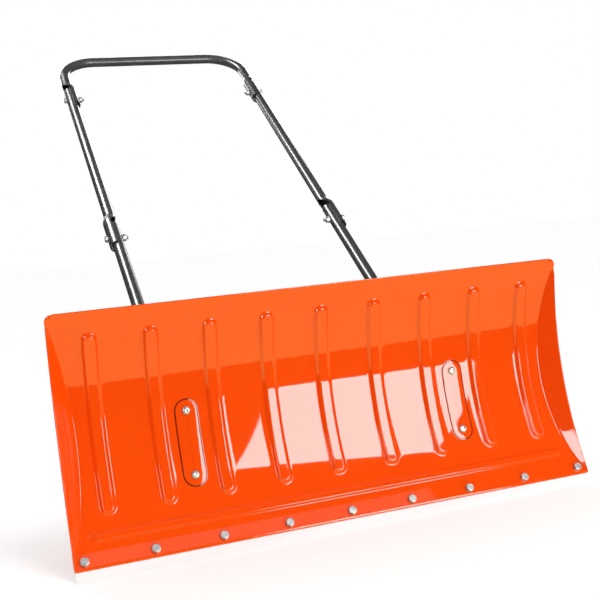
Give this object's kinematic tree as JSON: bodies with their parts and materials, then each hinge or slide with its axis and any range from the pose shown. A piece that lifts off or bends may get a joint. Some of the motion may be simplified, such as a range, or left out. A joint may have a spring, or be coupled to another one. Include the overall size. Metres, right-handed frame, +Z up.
{
  "type": "wheeled snow pusher",
  "caption": "Walk-behind snow pusher: curved ribbed sheet blade with a wear strip, side brackets with arc slots, small wheels and a bolted tubular push handle.",
  "frame": {"origin": "middle of the wear strip's ground face, where the blade meets the ground", "axes": "+X across the blade to the operator's left, +Y back from the blade towards the handle, +Z up"},
  "size_m": [0.914, 1.3004, 1.0317],
  "materials": {
    "orange_paint": "glossy orange-red powder coat on sheet steel",
    "strip_plastic": "white satin polymer strip",
    "tube_paint": "dark grey satin powder coat on steel tube",
    "black_plastic": "black moulded end cap",
    "tyre_rubber": "black solid rubber tread",
    "wheel_plastic": "white moulded wheel body",
    "bush_bronze": "plain sintered bush",
    "zinc_steel": "zinc plated steel fasteners"
  },
  "bodies": {
    "blade": {"blade_sheet": "orange_paint", "bracket_bolts": "zinc_steel", "bracket_nuts": "zinc_steel", "left_axle_bolt": "zinc_steel", "left_axle_nut": "zinc_steel", "left_axle_spacer": "zinc_steel", "left_axle_washers": "zinc_steel", "left_bracket": "orange_paint", "left_pivot_bolt": "zinc_steel", "left_pivot_nut": "zinc_steel", "right_axle_bolt": "zinc_steel", "right_axle_nut": "zinc_steel", "right_axle_spacer": "zinc_steel", "right_axle_washers": "zinc_steel", "right_bracket": "orange_paint", "right_pivot_bolt": "zinc_steel", "right_pivot_nut": "zinc_steel", "strip_bolts": "zinc_steel", "strip_nuts": "zinc_steel", "wear_strip": "strip_plastic"},
    "handle": {"handle_bar": "tube_paint", "left_lock_bolt": "zinc_steel", "left_lock_nut": "zinc_steel", "left_lock_washer": "zinc_steel", "left_lower_tube": "tube_paint", "left_middle_tube": "tube_paint", "left_tube_cap": "black_plastic", "lower_joint_bolts": "zinc_steel", "lower_joint_nuts": "zinc_steel", "lower_joint_washers": "zinc_steel", "right_lock_bolt": "zinc_steel", "right_lock_nut": "zinc_steel", "right_lock_washer": "zinc_steel", "right_lower_tube": "tube_paint", "right_middle_tube": "tube_paint", "right_tube_cap": "black_plastic", "upper_joint_bolts": "zinc_steel", "upper_joint_nuts": "zinc_steel", "upper_joint_washers": "zinc_steel"},
    "left_wheel": {"left_tyre": "tyre_rubber", "left_rim": "wheel_plastic", "left_bush": "bush_bronze"},
    "right_wheel": {"right_tyre": "tyre_rubber", "right_rim": "wheel_plastic", "right_bush": "bush_bronze"}
  },
  "joints": [
    {"name": "handle_tilt", "type": "hinge", "parent": "blade", "child": "handle", "pos_m": [0, 0.1166, 0.1515], "axis": [1, 0, 0], "range_deg": [0, 32]},
    {"name": "left_wheel_spin", "type": "hinge", "parent": "blade", "child": "left_wheel", "pos_m": [0.2928, 0.1534, 0.0635], "axis": [1, 0, 0], "continuous": true},
    {"name": "right_wheel_spin", "type": "hinge", "parent": "blade", "child": "right_wheel", "pos_m": [-0.2928, 0.1534, 0.0635], "axis": [1, 0, 0], "continuous": true}
  ]
}
